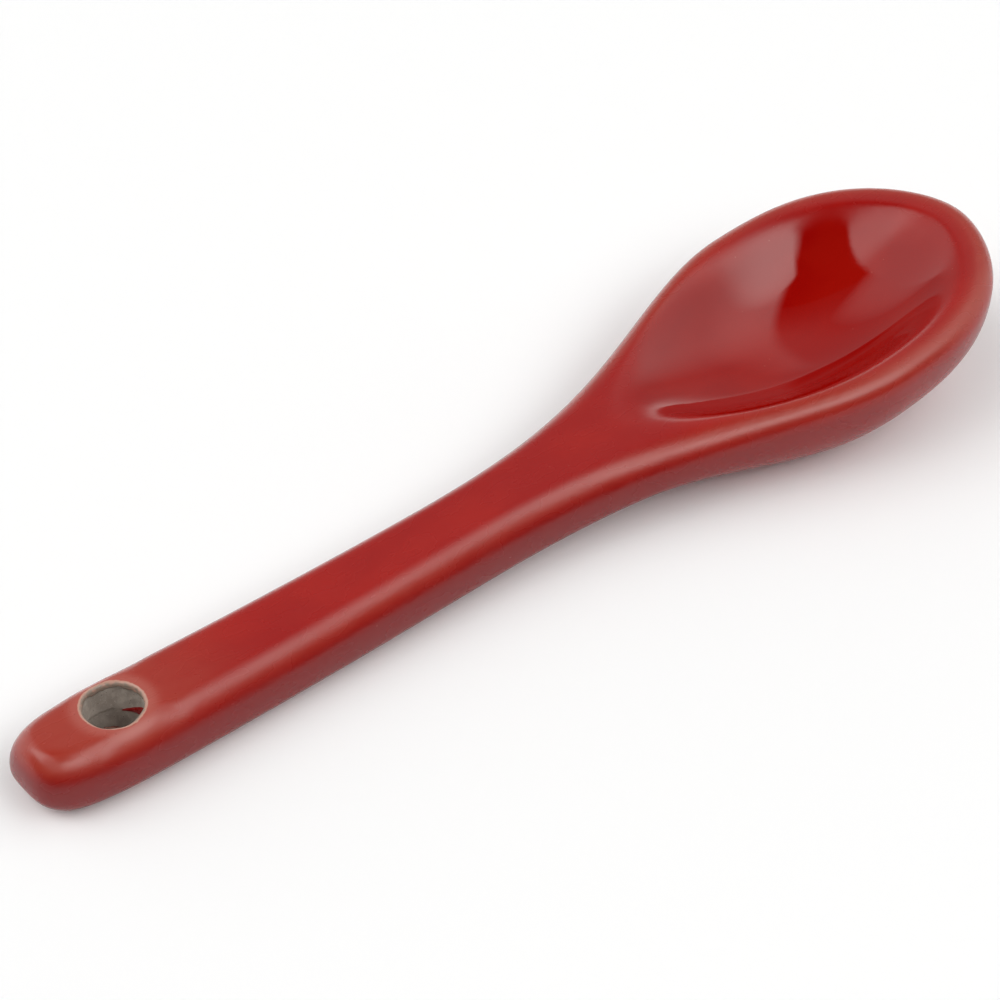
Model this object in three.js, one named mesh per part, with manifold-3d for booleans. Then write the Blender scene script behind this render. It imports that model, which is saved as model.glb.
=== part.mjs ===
// A one-piece stoneware spoon with a fired glaze all over it and a hanging hole in its handle.
// It lies on a table, resting on the underside of the handle and the bottom of the bowl.
// Units are millimetres. X runs along the spoon from the handle's end to the bowl's tip, Y is
// across and Z is up. The origin is on the table, below the middle of the spoon.

import * as THREE from 'three';
import { mergeVertices } from 'three/addons/utils/BufferGeometryUtils.js';
import Module from 'manifold-3d';

const wasm = await Module();
wasm.setup();

// Driving dimensions

const LENGTH = 135;

// Outline seen from above, as half widths and as distances from the handle's end
const END_HALF = 6.2;
const NECK_HALF = 5.7;
const BOWL_HALF = 17;
const END_ROUND = 16;
const FLARE_START = 47;
const BOWL_WIDEST = 110;
const END_POWER = 3.4;
const FLARE_POWER = 1.7;
const TIP_POWER = 2.7;
const TIP_ROOT = 1.65;

// Height of the top line above the table: at the handle's end, half way and at the tip
const TOP_END = 7.75;
const TOP_MIDDLE = 9.1;
const TOP_TIP = 16.5;

// Cross-section
const HANDLE_EDGE_RADIUS = 4.5;
const RIM_RADIUS = 2.55;
const HANDLE_UNDER_POWER = 2.8;
const BOWL_UNDER_POWER = 2.55;
const TIP_UNDER_POWER = 2.3;
const BELLY_START = 77;
const BELLY_DEEPEST = 106;
const FLAT_DEPTH = 0.12;

// Hollow of the bowl: its deepest place, and how far it reaches each way from there
const HOLLOW_CENTRE = 109;
const HOLLOW_DEPTH = 7.1;
const HOLLOW_HALF = 14;
const HOLLOW_TO_NECK = 27.5;
const HOLLOW_TIP_MARGIN = 4.5;
const HOLLOW_NECK_ROOT = 1.35;
const HOLLOW_FLAT_POWER = 1.43;
const HOLLOW_LIP_POWER = 1.57;
const HOLLOW_RAMP_POWER = 1.9;
const HOLLOW_RAMP_LIP = 1.15;

// Hanging hole
const HOLE_FROM_END = 11.2;
const HOLE_RADIUS = 3.15;
const HOLE_STRAIGHT_DEPTH = 3.8;
const HOLE_FLARE = 0.35;
const GLAZE_SETBACK = 0.2;

// Glaze
const GLAZE_THICKNESS = 0.45;
const GLAZE_TO_CLAY_GAP = 0.1;

// Facets
const AROUND = 30;
const ALONG = 52;
const HOLE_SEGMENTS = 32;

const clamp = THREE.MathUtils.clamp;
const mix = THREE.MathUtils.lerp;

// 0 at the start, 1 at the end, level at both
function ease(u) {
  const held = clamp(u, 0, 1);
  return held * held * (3 - 2 * held);
}

// 1 at u = 0 falling to 0 at u = 1 along a rounded corner of the given powers
function roundOff(u, power, root = power) {
  return Math.pow(Math.max(1 - Math.pow(clamp(u, 0, 1), power), 0), 1 / root);
}

// Share of the way from handle to bowl: 0 along the handle, 1 at the bowl's widest place
function bowlShare(s) {
  const along = clamp((s - FLARE_START) / (BOWL_WIDEST - FLARE_START), 0, 1);
  return ease(Math.pow(along, FLARE_POWER));
}

// Half width of the outline at distance s from the handle's end
function halfWidth(s) {
  if (s >= BOWL_WIDEST) {
    return BOWL_HALF * roundOff((s - BOWL_WIDEST) / (LENGTH - BOWL_WIDEST), TIP_POWER, TIP_ROOT);
  }
  const taper = mix(END_HALF, NECK_HALF, Math.min(s / FLARE_START, 1.6));
  const full = mix(taper, BOWL_HALF, bowlShare(s));
  return full * roundOff((END_ROUND - s) / END_ROUND, END_POWER);
}

// Height of the crest of the rim and of the handle's top: a parabola through three heights
function topHeight(s) {
  const t = s / LENGTH;
  const bend = 2 * (TOP_END - 2 * TOP_MIDDLE + TOP_TIP);
  const slope = TOP_TIP - TOP_END - bend;
  return TOP_END + slope * t + bend * t * t;
}

// Radius of the rounded upper edge
function edgeRadius(s) {
  return mix(HANDLE_EDGE_RADIUS, RIM_RADIUS, bowlShare(s));
}

// Distance from a point of the plan to the outline, true close to the outline
function distanceToOutline(s, y) {
  const step = 0.001;
  const before = halfWidth(Math.max(s - step, 0));
  const after = halfWidth(Math.min(s + step, LENGTH));
  const span = Math.min(s + step, LENGTH) - Math.max(s - step, 0);
  const slope = (after * after - before * before) / span;
  const half = halfWidth(s);
  return (half * half - y * y) / (Math.hypot(slope, 2 * y) + step);
}

// Depth of the bowl's hollow below the crest of the rim. The hollow has an egg-shaped plan: rounded
// at the tip and drawn out towards the neck.
function hollowDepth(s, y) {
  const towardsNeck = s < HOLLOW_CENTRE;
  const reach = towardsNeck ? HOLLOW_TO_NECK : LENGTH - HOLLOW_TIP_MARGIN - HOLLOW_CENTRE;
  const along = Math.abs(s - HOLLOW_CENTRE) / reach;
  const plan = towardsNeck
    ? roundOff(along, 2, HOLLOW_NECK_ROOT)
    : roundOff(along, TIP_POWER, TIP_ROOT);
  if (plan === 0) {
    return 0;
  }
  const ramp = roundOff(along, HOLLOW_RAMP_POWER, 1 / HOLLOW_RAMP_LIP);
  const across = Math.abs(y) / (HOLLOW_HALF * plan);
  return HOLLOW_DEPTH * ramp * roundOff(across, 2 * HOLLOW_FLAT_POWER, 1 / HOLLOW_LIP_POWER);
}

// Height of the upper surface
function upperHeight(s, y) {
  const radius = edgeRadius(s);
  const near = clamp(1 - distanceToOutline(s, y) / radius, 0, 1);
  const edgeDrop = radius * (1 - Math.sqrt(1 - near * near));
  return topHeight(s) - edgeDrop - hollowDepth(s, y);
}

// Thickness below the widest line of the section
function underDepth(s) {
  const thinnest = LENGTH * clamp(topLowest(), 0.03, 0.4);
  const handle = topHeight(thinnest) + FLAT_DEPTH - HANDLE_EDGE_RADIUS;
  const bowl = topHeight(BELLY_DEEPEST) + FLAT_DEPTH - RIM_RADIUS;
  const depth = mix(handle, bowl, ease((s - BELLY_START) / (BELLY_DEEPEST - BELLY_START)));
  const tip = roundOff((s - BELLY_DEEPEST) / (LENGTH - BELLY_DEEPEST), TIP_UNDER_POWER);
  const heel = roundOff((HANDLE_EDGE_RADIUS - s) / HANDLE_EDGE_RADIUS, 2);
  return depth * tip * heel;
}

// Where the top line is lowest, as a share of the length
function topLowest() {
  const bend = 2 * (TOP_END - 2 * TOP_MIDDLE + TOP_TIP);
  return (TOP_END + bend - TOP_TIP) / (2 * bend);
}

// A point of the skin: u runs from the handle's end to the tip, turn goes once round the
// section from the middle of the underside
function skinPoint(u, turn) {
  const s = LENGTH * (1 - Math.cos(Math.PI * u)) / 2;
  const half = halfWidth(s);
  const across = Math.sin(2 * Math.PI * turn);
  const down = Math.cos(2 * Math.PI * turn);
  if (down < 0) {
    return new THREE.Vector3(s - LENGTH / 2, half * across, upperHeight(s, half * across));
  }
  const power = 2 / mix(HANDLE_UNDER_POWER, BOWL_UNDER_POWER, bowlShare(s));
  const y = half * Math.sign(across) * Math.pow(Math.abs(across), power);
  const z = topHeight(s) - edgeRadius(s) - underDepth(s) * Math.pow(down, power);
  return new THREE.Vector3(s - LENGTH / 2, y, Math.max(z, 0));
}

// A closed surface at a depth below the skin: a sphere's grid laid over the spoon's shape
function closedSurface(depth) {
  const grid = new THREE.SphereGeometry(1, AROUND, ALONG);
  const place = grid.attributes.position;
  for (let i = 0; i < place.count; i += 1) {
    const atPole = i <= AROUND || i >= place.count - AROUND - 1;
    const turn = atPole ? 0 : grid.attributes.uv.getX(i);
    const point = skinPoint(grid.attributes.uv.getY(i), turn);
    place.setXYZ(i, point.x, point.y, point.z);
  }
  grid.deleteAttribute('normal');
  grid.deleteAttribute('uv');
  const merged = mergeVertices(grid);
  merged.computeVertexNormals();
  const normal = merged.attributes.normal;
  const vertex = merged.attributes.position;
  for (let i = 0; i < vertex.count; i += 1) {
    vertex.setXYZ(
      i,
      vertex.getX(i) - depth * normal.getX(i),
      vertex.getY(i) - depth * normal.getY(i),
      vertex.getZ(i) - depth * normal.getZ(i),
    );
  }
  merged.deleteAttribute('normal');
  return merged;
}

// The tool that makes the hanging hole: straight from above, then opening out downwards
function holeCutter(extraRadius) {
  const above = TOP_END + 5;
  const shoulder = topHeight(HOLE_FROM_END) - HOLE_STRAIGHT_DEPTH;
  const radius = HOLE_RADIUS + extraRadius;
  const profile = [
    new THREE.Vector2(0, -1),
    new THREE.Vector2(radius + HOLE_FLARE, -1),
    new THREE.Vector2(radius + HOLE_FLARE, 0),
    new THREE.Vector2(radius, shoulder),
    new THREE.Vector2(radius, above),
    new THREE.Vector2(0, above),
  ];
  const cutter = new THREE.LatheGeometry(profile, HOLE_SEGMENTS);
  cutter.rotateX(Math.PI / 2);
  cutter.translate(HOLE_FROM_END - LENGTH / 2, 0, 0);
  return cutter;
}

// three.js geometry to a solid that can be cut
function solid(geometry) {
  const bare = geometry.clone();
  bare.deleteAttribute('normal');
  bare.deleteAttribute('uv');
  const merged = mergeVertices(bare);
  return new wasm.Manifold(new wasm.Mesh({
    numProp: 3,
    vertProperties: new Float32Array(merged.attributes.position.array),
    triVerts: new Uint32Array(merged.index.array),
  }));
}

// A cut solid back to three.js geometry
function geometryOf(cutSolid) {
  const mesh = cutSolid.getMesh();
  const geometry = new THREE.BufferGeometry();
  geometry.setAttribute('position', new THREE.BufferAttribute(mesh.vertProperties, 3));
  geometry.setIndex(new THREE.BufferAttribute(mesh.triVerts, 1));
  geometry.computeVertexNormals();
  return geometry;
}

// Fired clay: the whole spoon less the glaze's thickness, with the hole's wall left bare
function clayBody() {
  const outside = solid(closedSurface(GLAZE_THICKNESS + GLAZE_TO_CLAY_GAP));
  return geometryOf(outside.subtract(solid(holeCutter(0))));
}

// Glaze: a glass skin over all of the clay, which ends round both mouths of the hole
function glazeCoat() {
  const outside = solid(closedSurface(0));
  const inside = solid(closedSurface(GLAZE_THICKNESS));
  return geometryOf(outside.subtract(inside).subtract(solid(holeCutter(GLAZE_SETBACK))));
}

const clayMaterial = new THREE.MeshStandardMaterial({
  color: 0x8a8078,
  roughness: 0.9,
  metalness: 0,
});

const glazeMaterial = new THREE.MeshStandardMaterial({
  color: 0x9c1c18,
  roughness: 0.22,
  metalness: 0,
});

const clay = new THREE.Mesh(clayBody(), clayMaterial);
clay.name = 'clay_body';

const glaze = new THREE.Mesh(glazeCoat(), glazeMaterial);
glaze.name = 'glaze_coat';

const spoon = new THREE.Group();
spoon.name = 'spoon';
spoon.add(clay, glaze);

export default spoon;
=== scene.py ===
# A red-glazed stoneware spoon lying on a pale floor.
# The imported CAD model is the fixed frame. The spoon's glaze, its bare clay and the run of glaze in
# its hanging hole are built here as finer meshes from the same dimensions. Shape functions work in
# millimetres, counted along the spoon from the handle's end; meshes are made in metres.

import math

import bpy
import numpy as np
from mathutils import Matrix, Vector

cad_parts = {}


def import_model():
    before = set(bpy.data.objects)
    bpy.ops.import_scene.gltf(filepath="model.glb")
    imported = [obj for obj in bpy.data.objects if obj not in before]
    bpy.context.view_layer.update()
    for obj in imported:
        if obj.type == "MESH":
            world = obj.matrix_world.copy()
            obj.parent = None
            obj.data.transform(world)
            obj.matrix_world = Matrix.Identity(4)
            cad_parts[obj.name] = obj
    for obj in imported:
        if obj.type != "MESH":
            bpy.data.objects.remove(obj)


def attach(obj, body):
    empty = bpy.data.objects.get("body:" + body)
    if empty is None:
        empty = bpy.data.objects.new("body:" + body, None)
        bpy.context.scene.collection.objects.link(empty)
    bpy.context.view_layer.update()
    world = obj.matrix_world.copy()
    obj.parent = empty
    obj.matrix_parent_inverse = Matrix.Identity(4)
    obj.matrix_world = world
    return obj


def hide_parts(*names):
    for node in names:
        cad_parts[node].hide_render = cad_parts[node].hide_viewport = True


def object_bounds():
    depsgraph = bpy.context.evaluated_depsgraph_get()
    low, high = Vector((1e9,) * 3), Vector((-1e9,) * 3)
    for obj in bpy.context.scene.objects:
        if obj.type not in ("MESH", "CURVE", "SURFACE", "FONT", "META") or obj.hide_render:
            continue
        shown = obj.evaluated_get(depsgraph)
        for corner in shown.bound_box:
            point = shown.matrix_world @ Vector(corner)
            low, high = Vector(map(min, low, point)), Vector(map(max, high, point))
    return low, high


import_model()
cad_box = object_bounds()

MM = 0.001
LENGTH = (cad_box[1][0] - cad_box[0][0]) / MM

# Outline seen from above: half widths, distances from the handle's end, and the powers of its
# round ends. The handle's taper stops at TAPER_LIMIT times FLARE_START.
END_HALF = 6.2
NECK_HALF = 5.7
BOWL_HALF = 17.0
END_ROUND = 16.0
FLARE_START = 47.0
TAPER_LIMIT = 1.6
BOWL_WIDEST = 110.0
END_POWER = 3.4
FLARE_POWER = 1.7
TIP_POWER = 2.7
TIP_ROOT = 1.65

# Height of the top line above the floor
TOP_END = 7.75
TOP_MIDDLE = 9.1
TOP_TIP = 16.5
TOP_BEND = 2 * (TOP_END - 2 * TOP_MIDDLE + TOP_TIP)

# Cross-section: radii of the upper edge, powers of the underside, and where the belly is. The
# underside reaches FLAT_DEPTH below the floor before it is cut flat.
HANDLE_EDGE_RADIUS = 4.5
RIM_RADIUS = 2.55
HANDLE_UNDER_POWER = 2.8
BOWL_UNDER_POWER = 2.55
TIP_UNDER_POWER = 2.3
BELLY_START = 77.0
BELLY_DEEPEST = 106.0
FLAT_DEPTH = 0.12

# Hollow of the bowl: its size, and the powers of its outline and of its slopes
HOLLOW_CENTRE = 109.0
HOLLOW_DEPTH = 7.1
HOLLOW_HALF = 14.0
HOLLOW_TO_NECK = 27.5
HOLLOW_TIP_MARGIN = 4.5
HOLLOW_NECK_ROOT = 1.35
HOLLOW_FLAT_POWER = 1.43
HOLLOW_LIP_POWER = 1.57
HOLLOW_RAMP_POWER = 1.9
HOLLOW_RAMP_LIP = 1.15

# Smoothing of the skin: how strong it is in each place, and how far it stays off the hole
NECK_SOFT_PLACE = 81.0
NECK_SOFT_REACH = 7.0
HANDLE_SOFTNESS = 0.5
END_SOFT_PLACE = 10.0
END_SOFT_REACH = 4.0
LEAST_SOFTNESS = 0.10
HOLE_GUARD = 1.2
HOLE_GUARD_FADE = 1.5
SOFTEN_STEP = 0.6
SOFTEN_PASSES = 28
CLAY_SOFTEN_PASSES = 7

# Fineness of the meshes: cells along and around the skin, cells cut out round the hole
GLAZE_CELLS = (320, 160)
GLAZE_CUT = (30, 48)
GLAZE_LIP_STEPS = 8
CLAY_CELLS = (140, 96)
CLAY_CUT = (14, 28)
CLAY_LIP_STEPS = 6
FILL_STEPS = 7
WALL_STEPS = 40
RUN_COLUMNS = 30
RUN_ROWS = 10

# Hanging hole: straight for the first part, then flared. The clay's wall is rippled, except in
# the first and last 1 / RIPPLE_FADE of its depth.
HOLE_FROM_END = 11.2
HOLE_RADIUS = 3.15
HOLE_LIP = 0.38
HOLE_STRAIGHT_DEPTH = 3.8
HOLE_FLARE = 0.35
CLAY_PAST_LIP = 0.1
RIPPLE_FADE = 8.0

# Tongue of glaze on the hole's wall: angles in degrees round the hole, heights above the floor,
# how far it stands off the wall and is rooted in it
RUN_FROM = -25.0
RUN_TO = 44.0
RUN_HIGH = 4.7
RUN_LOW = 3.4
RUN_HALF = 0.85
RUN_THICKNESS = 0.16
RUN_ROOT = 0.15
RUN_DEPTH_OF_COLOUR = 0.6

# Glaze, and the gap between it and the clay: in general, and at the hole
GLAZE_THICKNESS = 0.45
GLAZE_EDGE_THICKNESS = 0.13
GLAZE_TAPER = 2.2 * HOLE_LIP
CLAY_GAP = 0.12
CLAY_EDGE_GAP = 0.03

# Camera: angles in degrees, lengths in metres
CAMERA_AZIMUTH = -41.0
CAMERA_ELEVATION = 40.69
CAMERA_ROLL = 1.46
CAMERA_DISTANCE = 0.300
CAMERA_AIM = (-0.0045, 0.00085, 0.0063)
CAMERA_LENS = 97.4
SENSOR = 36.0

# Light tent: radiance of its parts, all multiplied by TENT_LIGHT
TENT_LIGHT = 1.12
TENT_TINT = (1, 0.985, 0.95, 1)
LEFT_LIGHT = 1.0
RIGHT_LIGHT = 1.45
RIGHT_FADE = 0.45
BACK_FADE = 0.70
HORIZON_LIGHT = 0.9
GAP_STEP_LIGHT = 0.05
GAP_SLOW_LIGHT = 0.30
GAP_BACK_LIGHT = 0.95
OPENING_LIGHT = 0.01

# Its four soft hot spots: radiance, then degrees from overhead, degrees from +X, and half width
RIGHT_HOT = 1.7
RIGHT_SPOT = (41, -74, 25)
FRONT_HOT = 1.6
FRONT_SPOT = (50, -100, 20)
LEFT_HOT = 1.0
LEFT_SPOT = (20, 172, 24)
BACK_HOT = 2.0
BACK_SPOT = (52, 152, 30)

# Colours of the glaze
RED_DEEP = (0.31, 0.002, 0.001, 1)
RED_BRIGHT = (0.35, 0.005, 0.002, 1)
RED_THIN = (0.345, 0.036, 0.022, 1)
# The thick red darkens the sides below the rim as painted shade. In the hollow and in the hole's run, it
# is glaze that really lies thick.
RED_THICK_AND_SIDE_SHADE = (0.18, 0.002, 0.002, 1)
PINK_ROUND_HOLE = (0.40, 0.085, 0.066, 1)
PALE_EDGE = (0.50, 0.28, 0.22, 1)
DUSTY_EDGE = (0.28, 0.22, 0.18, 1)
DARK_SPECK = (0.16, 0.01, 0.01, 1)
PALE_SPECK = (0.50, 0.12, 0.09, 1)

# Colours of the clay
CLAY_DARK = (0.33, 0.285, 0.25, 1)
CLAY_LIGHT = (0.46, 0.405, 0.36, 1)
CLAY_SAND = (0.56, 0.50, 0.45, 1)
CLAY_PIT = (0.12, 0.10, 0.09, 1)


# ---------------------------------------------------------------- shape of the spoon


def ease(u):
    """0 at the start, 1 at the end, level at both."""
    u = np.clip(u, 0, 1)
    return u * u * (3 - 2 * u)


def round_off(u, power, root=None):
    """1 at u = 0, falling to 0 at u = 1 along a rounded corner."""
    root = power if root is None else root
    return np.maximum(1 - np.clip(u, 0, 1) ** power, 0) ** (1 / root)


def mix(a, b, share):
    return a + (b - a) * share


def bowl_share(s):
    """0 along the handle, rising to 1 where the bowl is widest."""
    along = np.clip((s - FLARE_START) / (BOWL_WIDEST - FLARE_START), 0, 1)
    return ease(along**FLARE_POWER)


def half_width(s):
    """Half of the spoon's width at s: tapering handle, flare, then the rounded tip."""
    taper = mix(END_HALF, NECK_HALF, np.minimum(s / FLARE_START, TAPER_LIMIT))
    body = mix(taper, BOWL_HALF, bowl_share(s)) * round_off((END_ROUND - s) / END_ROUND, END_POWER)
    tip = BOWL_HALF * round_off((s - BOWL_WIDEST) / (LENGTH - BOWL_WIDEST), TIP_POWER, TIP_ROOT)
    return np.where(s >= BOWL_WIDEST, tip, body)


def top_height(s):
    """The line that the spoon's top follows, a parabola from the handle's end to the tip."""
    t = s / LENGTH
    return TOP_END + (TOP_TIP - TOP_END - TOP_BEND) * t + TOP_BEND * t * t


def edge_radius(s):
    """Radius of the rounded upper edge of the section."""
    return mix(HANDLE_EDGE_RADIUS, RIM_RADIUS, bowl_share(s))


def outline_distance(s, y):
    """Distance from a point of the plan to the outline, true close to the outline."""
    step = 0.001
    low = np.clip(s - step, 0, LENGTH)
    high = np.clip(s + step, 0, LENGTH)
    slope = (half_width(high) ** 2 - half_width(low) ** 2) / (high - low)
    return (half_width(s) ** 2 - y * y) / (np.hypot(slope, 2 * y) + step)


def hollow_depth(s, y):
    """Depth of the bowl's hollow below the crest of the rim."""
    offset = s - HOLLOW_CENTRE
    reach = np.where(offset < 0, HOLLOW_TO_NECK, LENGTH - HOLLOW_TIP_MARGIN - HOLLOW_CENTRE)
    u = np.clip(np.abs(offset) / reach, 0, 1)
    to_neck = round_off(u, 2, HOLLOW_NECK_ROOT)
    to_tip = round_off(u, TIP_POWER, TIP_ROOT)
    half = np.maximum(HOLLOW_HALF * np.where(offset < 0, to_neck, to_tip), 1e-6)
    ramp = round_off(u, HOLLOW_RAMP_POWER, 1 / HOLLOW_RAMP_LIP)
    return HOLLOW_DEPTH * ramp * round_off(np.abs(y) / half, 2 * HOLLOW_FLAT_POWER, 1 / HOLLOW_LIP_POWER)


def upper_height(s, y):
    """Height of the upper surface: top line, less the rounded edge and the hollow."""
    radius = edge_radius(s)
    near = np.clip(1 - outline_distance(s, y) / radius, 0, 1)
    edge_drop = radius * (1 - np.sqrt(np.maximum(1 - near * near, 0)))
    return top_height(s) - edge_drop - hollow_depth(s, y)


def under_depth(s):
    """Thickness below the widest line of the section."""
    lowest = LENGTH * (TOP_END + TOP_BEND - TOP_TIP) / (2 * TOP_BEND)
    handle = top_height(lowest) + FLAT_DEPTH - HANDLE_EDGE_RADIUS
    bowl = top_height(BELLY_DEEPEST) + FLAT_DEPTH - RIM_RADIUS
    depth = mix(handle, bowl, ease((s - BELLY_START) / (BELLY_DEEPEST - BELLY_START)))
    tip = round_off((s - BELLY_DEEPEST) / (LENGTH - BELLY_DEEPEST), TIP_UNDER_POWER)
    heel = round_off((HANDLE_EDGE_RADIUS - s) / HANDLE_EDGE_RADIUS, 2)
    return depth * tip * heel


def under_power(s):
    """How square the underside of the section is."""
    return mix(HANDLE_UNDER_POWER, BOWL_UNDER_POWER, bowl_share(s))


def lower_height(s, y):
    """Height of the underside, cut flat where it meets the floor."""
    side = top_height(s) - edge_radius(s)
    share = round_off(np.abs(y) / np.maximum(half_width(s), 1e-6), under_power(s))
    return np.maximum(side - under_depth(s) * share, 0)


# ---------------------------------------------------------------- meshes


def skin_grid(along, around):
    """Points of the skin: rings from the handle's end to the tip, each from under the middle."""
    u = np.linspace(0, 1, along + 1)[:, None]
    turn = 2 * np.pi * np.arange(around)[None, :] / around
    s = LENGTH * (1 - np.cos(np.pi * u)) / 2 + 0 * turn
    half = half_width(s)
    across, down = np.sin(turn), np.cos(turn)
    y_above = half * across
    power = 2 / under_power(s)
    y_below = half * np.sign(across) * np.abs(across) ** power
    z_below = top_height(s) - edge_radius(s) - under_depth(s) * np.abs(down) ** power
    z = np.where(down < 0, upper_height(s, y_above), np.maximum(z_below, 0))
    return np.stack([s, np.where(down < 0, y_above, y_below), z], -1)


def soften(points, faces, passes):
    """Evens out the breaks of curvature where one formula hands over to the next: most at the
    hollow's neck end, some along the handle, little on the bowl, none round the hole."""
    edges = {tuple(sorted(pair)) for face in faces for pair in zip(face, face[1:] + face[:1])}
    a, b = np.array(sorted(edges)).T
    count = np.bincount(np.concatenate([a, b]), minlength=len(points))[:, None]
    s, y = points[:, 0], points[:, 1]
    neck = np.exp(-(((s - NECK_SOFT_PLACE) / NECK_SOFT_REACH) ** 2))
    end = ease((END_SOFT_PLACE - s) / END_SOFT_REACH)
    handle = HANDLE_SOFTNESS * (1 - bowl_share(s)) + HANDLE_SOFTNESS * end
    away = ease((np.hypot(s - HOLE_FROM_END, y) - HOLE_RADIUS - HOLE_GUARD) / HOLE_GUARD_FADE)
    weight = (np.clip(np.maximum(neck, handle), LEAST_SOFTNESS, 1) * away)[:, None]
    for _ in range(passes):
        total = np.zeros_like(points)
        np.add.at(total, a, points[b])
        np.add.at(total, b, points[a])
        points = points + SOFTEN_STEP * weight * (total / np.maximum(count, 1) - points)
    return points


def hole_wobble(angle):
    """How far the hole is out of round, in millimetres."""
    return 0.07 * np.sin(2 * angle + 0.6) + 0.05 * np.sin(3 * angle + 2.1) + 0.02 * np.sin(7 * angle)


def wall_opening(z):
    """How far the hole's wall has opened out towards its lower mouth: 0 above the shoulder."""
    shoulder = top_height(HOLE_FROM_END) - HOLE_STRAIGHT_DEPTH
    return 0.5 * ease((shoulder - z) / 0.5) + 0.5 * np.clip((shoulder - z) / shoulder, 0, 1)


def wall_ripple(angle, z):
    """Unevenness of the bare wall, in millimetres."""
    return 0.035 * np.sin(9 * angle + 3 * z) * np.sin(2.3 * z) + 0.03 * np.sin(4 * angle - z)


def ragged(angle):
    """How far the glaze's torn edge reaches down the hole, in millimetres."""
    waves = [(5, 0.4, 0.10), (11, 1.9, 0.07), (17, 4.2, 0.05), (29, 0.9, 0.04), (43, 2.7, 0.03)]
    return 0.30 + sum(size * np.sin(count * angle + start) for count, start, size in waves)


class Builder:
    """Collects vertices and faces, as loops of points joined to each other."""

    def __init__(self):
        self.points = []
        self.faces = []

    def add(self, points):
        """Adds points and returns their numbers."""
        first = len(self.points)
        self.points.extend(points)
        return list(range(first, len(self.points)))

    def bridge(self, loop_a, loop_b):
        """Joins two closed loops of the same length with a band of faces."""
        count = len(loop_a)
        for k in range(count):
            following = (k + 1) % count
            self.faces.append((loop_a[k], loop_a[following], loop_b[following], loop_b[k]))

    def grow(self, loop, points):
        """Adds a loop of points, joins it to the loop before and returns it."""
        following = self.add(points)
        self.bridge(loop, following)
        return following


def hole_ring(reach, angle, z):
    """Points round the hole's axis at those distances, angles and heights."""
    return list(np.stack([HOLE_FROM_END + reach * np.cos(angle), reach * np.sin(angle), z], -1))


def open_skin(cells, cut, lip_steps, passes, extra):
    """The skin with both mouths of the hole open. Returns the builder and the two end loops.

    cells is the number along and around, cut is how many of them are cut out each way round the
    hole, passes is how often the skin is smoothed, and extra is how far past the rounded lip it
    goes on down the hole, by angle."""
    along, around = cells
    grid = skin_grid(along, around)
    build = Builder()
    start = build.add([grid[0, 0]])[0]
    index = [build.add(list(ring)) for ring in grid[1:-1]]
    end = build.add([grid[-1, 0]])[0]
    stations = grid[1:-1, 0, 0]
    centre = int(np.argmin(np.abs(stations - HOLE_FROM_END)))
    i0, i1 = centre - cut[0] // 2, centre + cut[0] // 2
    top_j, half_j = around // 2, cut[1] // 2

    def in_cut(i, j):
        beside = min(abs(j + 0.5 - top_j), j + 0.5, around - j - 0.5)
        return i0 <= i < i1 and beside < half_j

    for j in range(around):
        following = (j + 1) % around
        build.faces.append((start, index[0][following], index[0][j]))
        build.faces.append((end, index[-1][j], index[-1][following]))
        for i in range(len(index) - 1):
            if not in_cut(i, j):
                build.faces.append(
                    (index[i][j], index[i][following], index[i + 1][following], index[i + 1][j])
                )
    ends = []
    for above in (True, False):
        j0 = top_j - half_j if above else -half_j
        j1 = j0 + 2 * half_j
        rim = [(i0, j) for j in range(j0, j1)] + [(i, j1) for i in range(i0, i1)]
        rim += [(i1, j) for j in range(j1, j0, -1)] + [(i, j0) for i in range(i1, i0, -1)]
        ends.append(mouth(build, [index[i][j % around] for i, j in rim], above, lip_steps, extra))
    build.points = list(soften(np.array(build.points), build.faces, passes))
    return build, ends


def mouth(build, loop, above, lip_steps, extra):
    """Fills the gap between a square cut-out of the grid and the hole, rounds the lip, and goes
    on down the hole's wall."""
    height = upper_height if above else lower_height
    sign = 1 if above else -1
    radius_here = HOLE_RADIUS if above else HOLE_RADIUS + HOLE_FLARE
    points = np.array([build.points[k] for k in loop])
    away = points[:, :2] - np.array([HOLE_FROM_END, 0])
    distance = np.hypot(away[:, 0], away[:, 1])
    angle = np.unwrap(np.arctan2(away[:, 1], away[:, 0]))
    lip_radius = radius_here + HOLE_LIP + hole_wobble(angle)
    for step in range(1, FILL_STEPS + 1):
        reach = mix(distance, lip_radius, step / FILL_STEPS)
        z = height(HOLE_FROM_END + reach * np.cos(angle), reach * np.sin(angle))
        loop = build.grow(loop, hole_ring(reach, angle, z))
    base = np.array([build.points[k] for k in loop])
    for step in range(1, lip_steps + 1):
        bend = 0.5 * math.pi * step / lip_steps
        reach = lip_radius - HOLE_LIP * math.sin(bend)
        z = base[:, 2] - sign * HOLE_LIP * (1 - math.cos(bend))
        loop = build.grow(loop, hole_ring(reach, angle, z))
    for share in (0.35, 0.7, 1.0):
        z = base[:, 2] - sign * (HOLE_LIP + share * extra(angle))
        loop = build.grow(loop, hole_ring(lip_radius - HOLE_LIP, angle, z))
    return loop


def vertex_normals(points, faces):
    """Outward normals, and whether the faces have to be turned over to face outwards."""
    normals = np.zeros_like(points)
    for face in faces:
        corners = points[list(face)]
        across = np.cross(corners[2] - corners[0], corners[-1] - corners[1])
        for k in face:
            normals[k] += across
    normals /= np.linalg.norm(normals, axis=1, keepdims=True) + 1e-12
    turned = normals[np.argmax(points[:, 0]), 0] < 0
    return (-normals if turned else normals), turned


def without_loose(points, faces):
    """Drops the points that no face uses."""
    used = sorted({k for face in faces for k in face})
    place = {old: new for new, old in enumerate(used)}
    return points[used], [tuple(place[k] for k in face) for face in faces]


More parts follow.
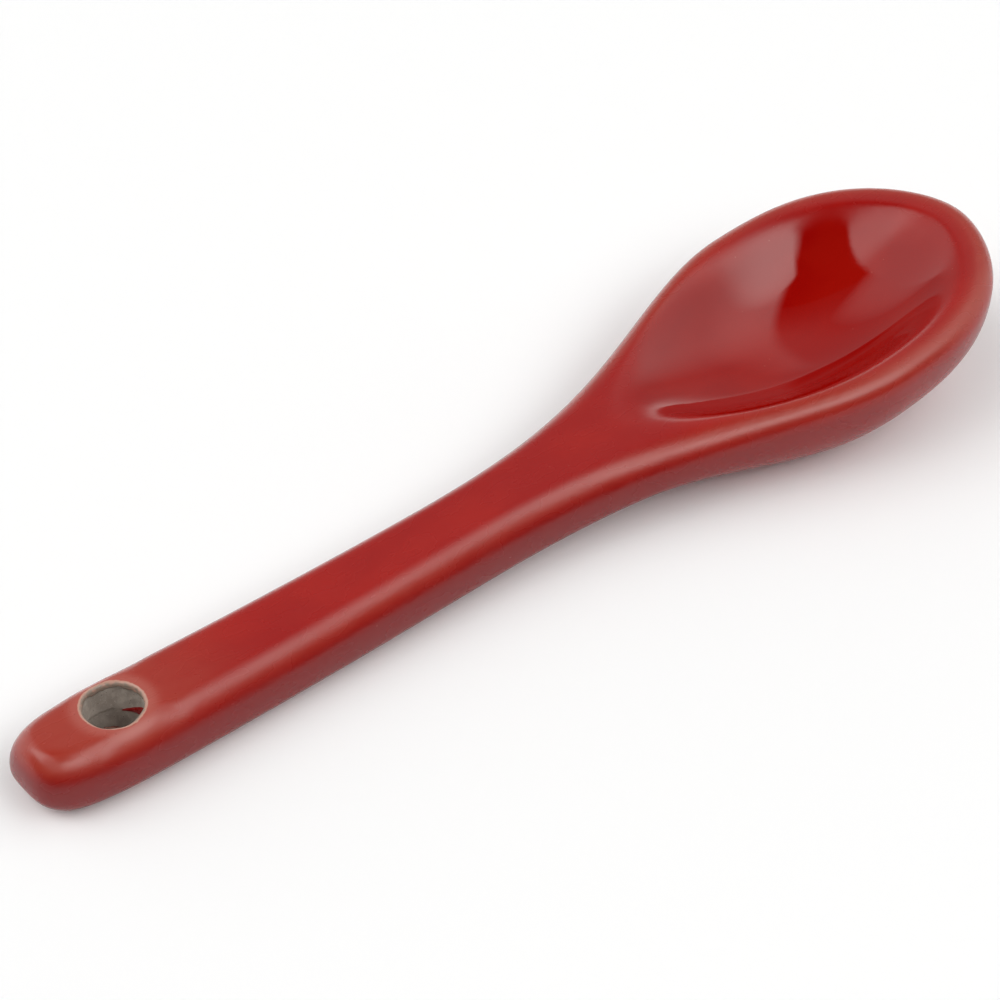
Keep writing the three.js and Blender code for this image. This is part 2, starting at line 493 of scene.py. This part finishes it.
def make_object(name, points, faces):
    """A smooth-shaded mesh object from millimetre points along the spoon."""
    placed = (np.array(points) - np.array([LENGTH / 2, 0, 0])) * MM
    placed[:, 0] += (cad_box[0][0] + cad_box[1][0]) / 2
    mesh = bpy.data.meshes.new(name)
    mesh.from_pydata(placed.tolist(), [], faces)
    mesh.polygons.foreach_set("use_smooth", [True] * len(mesh.polygons))
    mesh.update()
    obj = bpy.data.objects.new(name, mesh)
    bpy.context.scene.collection.objects.link(obj)
    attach(obj, "root")
    return obj


def glaze_taper(points):
    """Share of the full glaze thickness: full away from the hole, thin at its torn edge."""
    reach = np.hypot(points[:, 0] - HOLE_FROM_END, points[:, 1])
    lower_mouth = points[:, 2] < top_height(HOLE_FROM_END) / 2
    return ease((reach - HOLE_RADIUS - HOLE_FLARE * lower_mouth) / GLAZE_TAPER)


def glaze_coat():
    """The glass skin as a closed shell: outside, inside, and a thin torn edge at each mouth."""
    build, _ = open_skin(GLAZE_CELLS, GLAZE_CUT, GLAZE_LIP_STEPS, SOFTEN_PASSES, ragged)
    outer = np.array(build.points)
    normals, turned = vertex_normals(outer, build.faces)
    thickness = mix(GLAZE_EDGE_THICKNESS, GLAZE_THICKNESS, glaze_taper(outer))
    inner = outer - normals * thickness[:, None]
    count = len(outer)
    faces = list(build.faces)
    faces += [tuple(k + count for k in reversed(face)) for face in build.faces]
    edges = {pair: None for face in build.faces for pair in zip(face, face[1:] + face[:1])}
    open_edges = [(a, b) for a, b in edges if (b, a) not in edges]
    faces += [(b, a, a + count, b + count) for a, b in open_edges]
    if turned:
        faces = [tuple(reversed(face)) for face in faces]
    points, faces = without_loose(np.vstack([outer, inner]), faces)
    return make_object("glaze_coat_skin", points, faces)


def glaze_run():
    """A tongue of glaze that ran into the hole and tapers off along its wall. Its back is sunk
    into the clay."""
    build = Builder()
    outer, inner = [], []
    for column in range(RUN_COLUMNS + 1):
        share = column / RUN_COLUMNS
        angle = math.radians(mix(RUN_FROM, RUN_TO, share))
        middle = mix(RUN_HIGH, RUN_LOW, share) + 0.12 * math.sin(7 * share)
        half = RUN_HALF * (1.02 - share) ** 0.5 * min(1.0, 0.35 + 6 * share)
        for row in range(RUN_ROWS + 1):
            up = 2 * row / RUN_ROWS - 1
            bulge = RUN_THICKNESS * math.sqrt(max(1 - up * up, 0)) * min(1.0, 0.2 + 5 * share)
            z = middle + half * up
            wall = HOLE_RADIUS + GLAZE_EDGE_THICKNESS + CLAY_EDGE_GAP + hole_wobble(angle)
            wall += HOLE_FLARE * wall_opening(z) + wall_ripple(angle, z)
            for radius, points in ((wall + RUN_ROOT, outer), (wall - bulge, inner)):
                points.append((HOLE_FROM_END + radius * math.cos(angle), radius * math.sin(angle), z))
    back = build.add(outer)
    front = build.add(inner)
    width = RUN_ROWS + 1
    for column in range(RUN_COLUMNS):
        for row in range(RUN_ROWS):
            k = column * width + row
            build.faces.append((front[k], front[k + 1], front[k + width + 1], front[k + width]))
            build.faces.append((back[k + width], back[k + width + 1], back[k + 1], back[k]))
        for row in (0, RUN_ROWS):
            k = column * width + row
            edge = (back[k], back[k + width], front[k + width], front[k])
            build.faces.append(edge if row else tuple(reversed(edge)))
    for column in (0, RUN_COLUMNS):
        for row in range(RUN_ROWS):
            k = column * width + row
            edge = (back[k + 1], back[k], front[k], front[k + 1])
            build.faces.append(edge if column else tuple(reversed(edge)))
    return make_object("glaze_coat_run", build.points, build.faces)


def clay_body():
    """The fired clay: a skin just inside the glaze, and the bare wall of the hole."""
    build, ends = open_skin(
        CLAY_CELLS, CLAY_CUT, CLAY_LIP_STEPS, CLAY_SOFTEN_PASSES, lambda angle: CLAY_PAST_LIP
    )
    points = np.array(build.points)
    normals, turned = vertex_normals(points, build.faces)
    depth_at_hole = GLAZE_EDGE_THICKNESS + CLAY_EDGE_GAP
    depth = mix(depth_at_hole, GLAZE_THICKNESS + CLAY_GAP, glaze_taper(points))
    build.points = list(points - normals * depth[:, None])
    top, bottom = ends
    count = len(top)
    # the lower loop runs the other way round: start it under the upper one's first point
    bottom = [bottom[(CLAY_CUT[1] - k) % count] for k in range(count)]
    high = np.array([build.points[k] for k in top])
    low = np.array([build.points[k] for k in bottom])
    angle_high = np.arctan2(high[:, 1], high[:, 0] - HOLE_FROM_END)
    angle_low = np.arctan2(low[:, 1], low[:, 0] - HOLE_FROM_END)
    turn = (angle_low - angle_high + math.pi) % (2 * math.pi) - math.pi
    reach_high = np.hypot(high[:, 0] - HOLE_FROM_END, high[:, 1])
    reach_low = np.hypot(low[:, 0] - HOLE_FROM_END, low[:, 1])
    loop = top
    for step in range(1, WALL_STEPS):
        share = step / WALL_STEPS
        angle = angle_high + share * turn
        z = mix(high[:, 2], low[:, 2], share)
        fade = min(1.0, RIPPLE_FADE * share, RIPPLE_FADE * (1 - share))
        reach = mix(reach_high, reach_low, wall_opening(z)) + fade * wall_ripple(angle, z)
        loop = build.grow(loop, hole_ring(reach, angle, z))
    build.bridge(loop, bottom)
    faces = [tuple(reversed(face)) for face in build.faces] if turned else build.faces
    points, faces = without_loose(np.array(build.points), faces)
    return make_object("clay_body_core", points, faces)


# ---------------------------------------------------------------- materials


class Nodes:
    """Short forms for the shader nodes used below."""

    def __init__(self, name=None, tree=None):
        self.tree = tree
        if name is not None:
            self.material = bpy.data.materials.new(name)
            self.material.use_nodes = True
            self.tree = self.material.node_tree
            self.shader = self.tree.nodes["Principled BSDF"]
            self.place = self.tree.nodes.new("ShaderNodeTexCoord").outputs["Object"]

    def link(self, source, socket):
        self.tree.links.new(source, socket)

    def feed(self, socket, value):
        if isinstance(value, bpy.types.NodeSocket):
            self.link(value, socket)
        else:
            socket.default_value = value

    def maths(self, operation, a, b=0.0, limited=False):
        node = self.tree.nodes.new("ShaderNodeMath")
        node.operation = operation
        node.use_clamp = limited
        self.feed(node.inputs[0], a)
        self.feed(node.inputs[1], b)
        return node.outputs[0]

    def ramp(self, value, low, high):
        """0 where value is below low, 1 above high, eased between."""
        node = self.tree.nodes.new("ShaderNodeMapRange")
        node.interpolation_type = "SMOOTHSTEP"
        self.feed(node.inputs["Value"], value)
        node.inputs["From Min"].default_value = low
        node.inputs["From Max"].default_value = high
        return node.outputs["Result"]

    def blend(self, share, a, b):
        """Colour a where share is 0, colour b where it is 1."""
        node = self.tree.nodes.new("ShaderNodeMix")
        node.data_type = "RGBA"
        self.feed(node.inputs["Factor"], share)
        self.feed(node.inputs[6], a)
        self.feed(node.inputs[7], b)
        return node.outputs[2]

    def stretched(self, sizes):
        """The place on the object, counted in those sizes along each axis."""
        node = self.tree.nodes.new("ShaderNodeVectorMath")
        node.operation = "DIVIDE"
        self.link(self.place, node.inputs[0])
        node.inputs[1].default_value = sizes
        return node.outputs[0]

    def noise(self, sizes, detail=2.0, roughness=0.5):
        """Noise between 0 and 1 whose features are about that size, in metres, along each axis."""
        node = self.tree.nodes.new("ShaderNodeTexNoise")
        self.link(self.stretched(sizes), node.inputs["Vector"])
        node.inputs["Scale"].default_value = 1.0
        node.inputs["Detail"].default_value = detail
        node.inputs["Roughness"].default_value = roughness
        return node.outputs["Fac"]

    def specks(self, spacing, size):
        """1 in small round spots, 0 elsewhere."""
        node = self.tree.nodes.new("ShaderNodeTexVoronoi")
        self.link(self.stretched((spacing,) * 3), node.inputs["Vector"])
        node.inputs["Scale"].default_value = 1.0
        return self.maths("SUBTRACT", 1.0, self.ramp(node.outputs["Distance"], size * 0.6, size))

    def attribute(self, name):
        node = self.tree.nodes.new("ShaderNodeAttribute")
        node.attribute_name = name
        return node.outputs["Fac"]

    def bump(self, height, distance, normal=None):
        """A surface raised by height times distance, in metres, on top of an earlier bump."""
        node = self.tree.nodes.new("ShaderNodeBump")
        node.inputs["Distance"].default_value = distance
        self.link(height, node.inputs["Height"])
        if normal is not None:
            self.link(normal, node.inputs["Normal"])
        return node.outputs["Normal"]


def glaze_material():
    """Deep red glass over clay: darker where it lies thick and, as painted shade, down the sides, more
    orange where it has run thin, and pink, then pale, then dusty where it ends at the hole."""
    n = Nodes("red_glaze")
    thin = n.attribute("glaze_thin")
    bare = n.attribute("glaze_bare")
    bowl = n.attribute("bowl_inside")
    cloud = n.noise((0.011, 0.007, 0.007), 3)
    colour = n.blend(n.ramp(cloud, 0.35, 0.7), RED_DEEP, RED_BRIGHT)
    edge_noise = n.noise((0.0025, 0.0012, 0.0012), 3)
    worn = n.maths("MULTIPLY", thin, n.maths("ADD", 0.65, n.maths("MULTIPLY", edge_noise, 0.7)), True)
    colour = n.blend(worn, colour, RED_THIN)
    # painted shade: a darker base colour down the sides below the rim; in the hollow and the run it is
    # thicker glaze
    colour = n.blend(n.attribute("glaze_thick_and_side_shade"), colour, RED_THICK_AND_SIDE_SHADE)
    colour = n.blend(n.ramp(bare, 0.0, 0.9), colour, PINK_ROUND_HOLE)
    jagged = n.maths("MULTIPLY", n.noise((0.0005, 0.0005, 0.0005), 2), 0.07)
    break_line = n.maths("SUBTRACT", bare, jagged)
    colour = n.blend(n.ramp(break_line, 0.88, 0.92), colour, PALE_EDGE)
    colour = n.blend(n.ramp(break_line, 0.94, 0.97), colour, DUSTY_EDGE)
    dark = n.maths("MULTIPLY", n.specks(0.0017, 0.07), 0.22)
    colour = n.blend(dark, colour, DARK_SPECK)
    pale = n.maths("MULTIPLY", n.specks(0.0023, 0.05), 0.25)
    colour = n.blend(pale, colour, PALE_SPECK)
    n.link(colour, n.shader.inputs["Base Color"])

    # satin outside, glossy in the hollow
    mottled = n.maths("MULTIPLY", n.noise((0.004, 0.002, 0.002), 2), 0.10)
    satin = n.maths("ADD", 0.22, mottled)
    glossy = n.maths("ADD", 0.035, n.maths("MULTIPLY", mottled, 0.15))
    gloss_mix = n.tree.nodes.new("ShaderNodeMix")
    n.link(bowl, gloss_mix.inputs[0])
    n.link(satin, gloss_mix.inputs[2])
    n.link(glossy, gloss_mix.inputs[3])
    n.link(gloss_mix.outputs[0], n.shader.inputs["Roughness"])

    # faint unevenness, nearly gone in the hollow
    peel = n.noise((0.0022, 0.0011, 0.0011), 2)
    outside = n.maths("SUBTRACT", 1.0, n.maths("MULTIPLY", bowl, 0.85))
    n.link(n.bump(n.maths("MULTIPLY", peel, outside), 0.00002), n.shader.inputs["Normal"])
    n.shader.inputs["IOR"].default_value = 1.5
    return n.material


def clay_material():
    """Bare fired stoneware: grey-brown, matte, sandy."""
    n = Nodes("bare_clay")
    cloud = n.noise((0.0012, 0.0012, 0.0025), 4, 0.6)
    colour = n.blend(n.ramp(cloud, 0.35, 0.68), CLAY_DARK, CLAY_LIGHT)
    grain = n.noise((0.00022,) * 3, 3, 0.7)
    colour = n.blend(n.ramp(grain, 0.56, 0.72), colour, CLAY_SAND)
    colour = n.blend(n.specks(0.0006, 0.12), colour, CLAY_PIT)
    n.link(colour, n.shader.inputs["Base Color"])
    n.shader.inputs["Roughness"].default_value = 0.92
    rough = n.bump(n.noise((0.0009, 0.0009, 0.0018), 3), 0.00012)
    n.link(n.bump(grain, 0.00005, rough), n.shader.inputs["Normal"])
    return n.material


def paint_glaze(obj, is_run):
    """Stores where the glaze is thin, where it is thick, where the sides get a darker colour as painted
    shade, where it ends, and where the glossy hollow is. A run in the hole is thick all over."""
    mesh = obj.data
    co = np.zeros(len(mesh.vertices) * 3)
    mesh.vertices.foreach_get("co", co)
    co = co.reshape(-1, 3) / MM
    s = co[:, 0] - cad_box[0][0] / MM
    y = co[:, 1]
    z = co[:, 2]
    share = bowl_share(s)
    distance = outline_distance(np.clip(s, 0.01, LENGTH - 0.01), y)
    drop = top_height(s) - z
    # distances below are in millimetres: the glaze is thin on the rim and at the handle's end
    rim = np.exp(-((distance - 1.2) / 1.5) ** 2) * np.exp(-np.maximum(drop - 0.6, 0) ** 2 / 2.2)
    reach = np.hypot(s - HOLE_FROM_END, y)
    bare = 1 - ease((reach - HOLE_RADIUS) / 2.5)
    above = z > lower_height(s, y) + 1.2
    # painted shade: the sides below the crest, outside the hollow, are marked for a darker colour
    side = ease((drop - 1.0) / 2.2) * (1 - ease(hollow_depth(s, y) / 0.3))
    end = ease((30 - s) / 20) * (1 - side)
    pooled = ease((hollow_depth(s, y) - 0.3) / 2.0) * above
    # the darker colour: painted shade on the sides, and glaze really pooled in the hollow
    thick_and_side_shade = np.maximum(side * (1 - 0.45 * share) * 0.85, 0.2 * pooled)
    values = {
        "glaze_thin": np.maximum(np.clip(rim, 0, 1) * (0.7 + 0.3 * share), end) * (not is_run),
        "glaze_thick_and_side_shade": np.full(len(s), RUN_DEPTH_OF_COLOUR) if is_run else thick_and_side_shade,
        "glaze_bare": bare * (not is_run),
        "bowl_inside": ease((hollow_depth(s, y) - 0.1) / 2.0) * above,
    }
    for name, value in values.items():
        attribute = mesh.attributes.new(name, "FLOAT", "POINT")
        attribute.data.foreach_set("value", value.astype(np.float32))


# ---------------------------------------------------------------- stage


def camera():
    """Looks down at the spoon from its handle's side."""
    azimuth = math.radians(CAMERA_AZIMUTH)
    elevation = math.radians(CAMERA_ELEVATION)
    roll = math.radians(CAMERA_ROLL)
    back = Vector((
        math.sin(azimuth) * math.cos(elevation),
        -math.cos(azimuth) * math.cos(elevation),
        math.sin(elevation),
    ))
    level = Vector((0, 0, 1)).cross(back).normalized()
    up = back.cross(level)
    right = level * math.cos(roll) + up * math.sin(roll)
    up = up * math.cos(roll) - level * math.sin(roll)
    data = bpy.data.cameras.new("camera")
    data.lens = CAMERA_LENS
    data.sensor_width = SENSOR
    data.clip_start = 0.01
    obj = bpy.data.objects.new("camera", data)
    turn = Matrix((right, up, back)).transposed().to_4x4()
    obj.matrix_world = Matrix.Translation(Vector(CAMERA_AIM) + back * CAMERA_DISTANCE) @ turn
    bpy.context.scene.collection.objects.link(obj)
    bpy.context.scene.camera = obj


def floor():
    """A plain pale floor under the spoon."""
    size = 3.0
    mesh = bpy.data.meshes.new("floor")
    corners = [(-size, -size, 0), (size, -size, 0), (size, size, 0), (-size, size, 0)]
    mesh.from_pydata(corners, [], [(0, 1, 2, 3)])
    obj = bpy.data.objects.new("floor", mesh)
    bpy.context.scene.collection.objects.link(obj)
    n = Nodes("pale_floor")
    n.shader.inputs["Base Color"].default_value = (0.93, 0.944, 0.975, 1)
    n.shader.inputs["Roughness"].default_value = 0.7
    obj.data.materials.append(n.material)


def world():
    """A light tent seen from inside: lit panels, a dark gap overhead and a dim opening behind
    the camera.

    Directions are given as the slopes x/z and y/z, so that a straight edge in the tent's roof is
    a straight line, given by two of its points."""
    w = bpy.data.worlds.new("studio")
    bpy.context.scene.world = w
    w.use_nodes = True
    n = Nodes(tree=w.node_tree)
    direction = n.tree.nodes.new("ShaderNodeTexCoord").outputs["Generated"]
    parts = n.tree.nodes.new("ShaderNodeSeparateXYZ")
    n.link(direction, parts.inputs[0])
    x, y, z = parts.outputs[0], parts.outputs[1], parts.outputs[2]
    above = n.maths("MAXIMUM", z, 0.02)
    slope_x = n.maths("DIVIDE", x, above)
    slope_y = n.maths("DIVIDE", y, above)

    def right_of(line, low, high):
        """0 on the left of the line, 1 on its right, eased between low and high."""
        start, end = line
        run = Vector(end) - Vector(start)
        across = Vector((run.y, -run.x)).normalized()
        along_x = n.maths("MULTIPLY", slope_x, across.x)
        distance = n.maths("ADD", along_x, n.maths("MULTIPLY", slope_y, across.y))
        return n.ramp(n.maths("SUBTRACT", distance, across.dot(Vector(start))), low, high)

    def glow(spot, hot):
        """hot at the middle of the spot, fading to 0 at its edge."""
        zenith, azimuth, width = [math.radians(angle) for angle in spot]
        flat = math.sin(zenith)
        middle = (flat * math.cos(azimuth), flat * math.sin(azimuth), math.cos(zenith))
        node = n.tree.nodes.new("ShaderNodeVectorMath")
        node.operation = "DOT_PRODUCT"
        n.link(direction, node.inputs[0])
        node.inputs[1].default_value = middle
        return both(n.ramp(node.outputs["Value"], math.cos(width), 1.0), hot)

    def both(a, b):
        return n.maths("MULTIPLY", a, b)

    def either(a, b):
        return n.maths("MAXIMUM", a, b)

    def total(a, b):
        return n.maths("ADD", a, b)

    def without(a):
        return n.maths("SUBTRACT", 1.0, a)

    # radiance of the two panels
    to_right = n.ramp(slope_x, 0.5, 1.3)
    to_back = n.ramp(slope_y, -0.4, 0.8)
    to_horizon = n.ramp(slope_y, 1.6, 3.5)
    right_panel = n.maths("SUBTRACT", RIGHT_LIGHT, both(to_right, RIGHT_FADE))
    right_panel = n.maths("SUBTRACT", right_panel, both(to_back, BACK_FADE))
    right_panel = total(right_panel, glow(RIGHT_SPOT, RIGHT_HOT))
    right_panel = total(right_panel, glow(FRONT_SPOT, FRONT_HOT))
    right_panel = total(right_panel, both(to_horizon, HORIZON_LIGHT))
    left_panel = total(LEFT_LIGHT, glow(LEFT_SPOT, LEFT_HOT))
    left_panel = total(left_panel, glow(BACK_SPOT, BACK_HOT))

    # where each panel is: the right one reaches further left in front, and all the way at the
    # very front
    left = without(right_of(((-0.33, -0.3), (-0.21, 0.54)), -0.015, 0.015))
    right = right_of(((0.20, -0.36), (0.54, 0.4)), -0.06, 0.10)
    beside_gap = right_of(((0.10, -0.9), (0.09, -0.42)), -0.03, 0.03)
    before_gap = right_of(((0.10, -0.40), (0.3, -0.34)), -0.03, 0.06)
    right = either(right, both(beside_gap, before_gap))
    forward = n.maths("MULTIPLY", slope_y, -1.0)
    right = either(right, n.ramp(forward, 0.76, 0.86))

    # the gap between the panels grows lighter beyond a slanting line, and is lit at the back left
    slant = ((0.22, -0.09), (-0.19, 0.54))
    gap = total(
        both(right_of(slant, 0.0, 0.03), GAP_STEP_LIGHT),
        both(right_of(slant, -0.05, 0.6), GAP_SLOW_LIGHT),
    )
    back_left = both(n.ramp(slope_y, 0.48, 0.64), without(n.ramp(slope_x, -0.2, 0.35)))
    gap = either(gap, both(back_left, GAP_BACK_LIGHT))
    lit = total(both(right, right_panel), both(without(right), gap))
    level = total(both(left, left_panel), both(without(left), lit))

    # the opening is on the camera's side, low down
    azimuth = math.radians(CAMERA_AZIMUTH)
    behind = total(both(x, math.sin(azimuth)), both(y, -math.cos(azimuth)))
    low_down = without(n.ramp(z, 0.42, 0.62))
    opening = both(n.ramp(behind, -0.15, 0.30), low_down)
    level = both(level, without(both(opening, 1 - OPENING_LIGHT)))
    n.link(both(level, TENT_LIGHT), n.tree.nodes["Background"].inputs["Strength"])
    n.tree.nodes["Background"].inputs["Color"].default_value = TENT_TINT


camera()
floor()
world()

red_glaze = glaze_material()
for glaze, is_run in ((glaze_coat(), False), (glaze_run(), True)):
    paint_glaze(glaze, is_run)
    glaze.data.materials.append(red_glaze)
    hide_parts("glaze_coat")

clay = clay_body()
clay.data.materials.append(clay_material())
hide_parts("clay_body")

# colours are shown as they are lit, with no film curve
bpy.context.scene.view_settings.view_transform = "Standard"
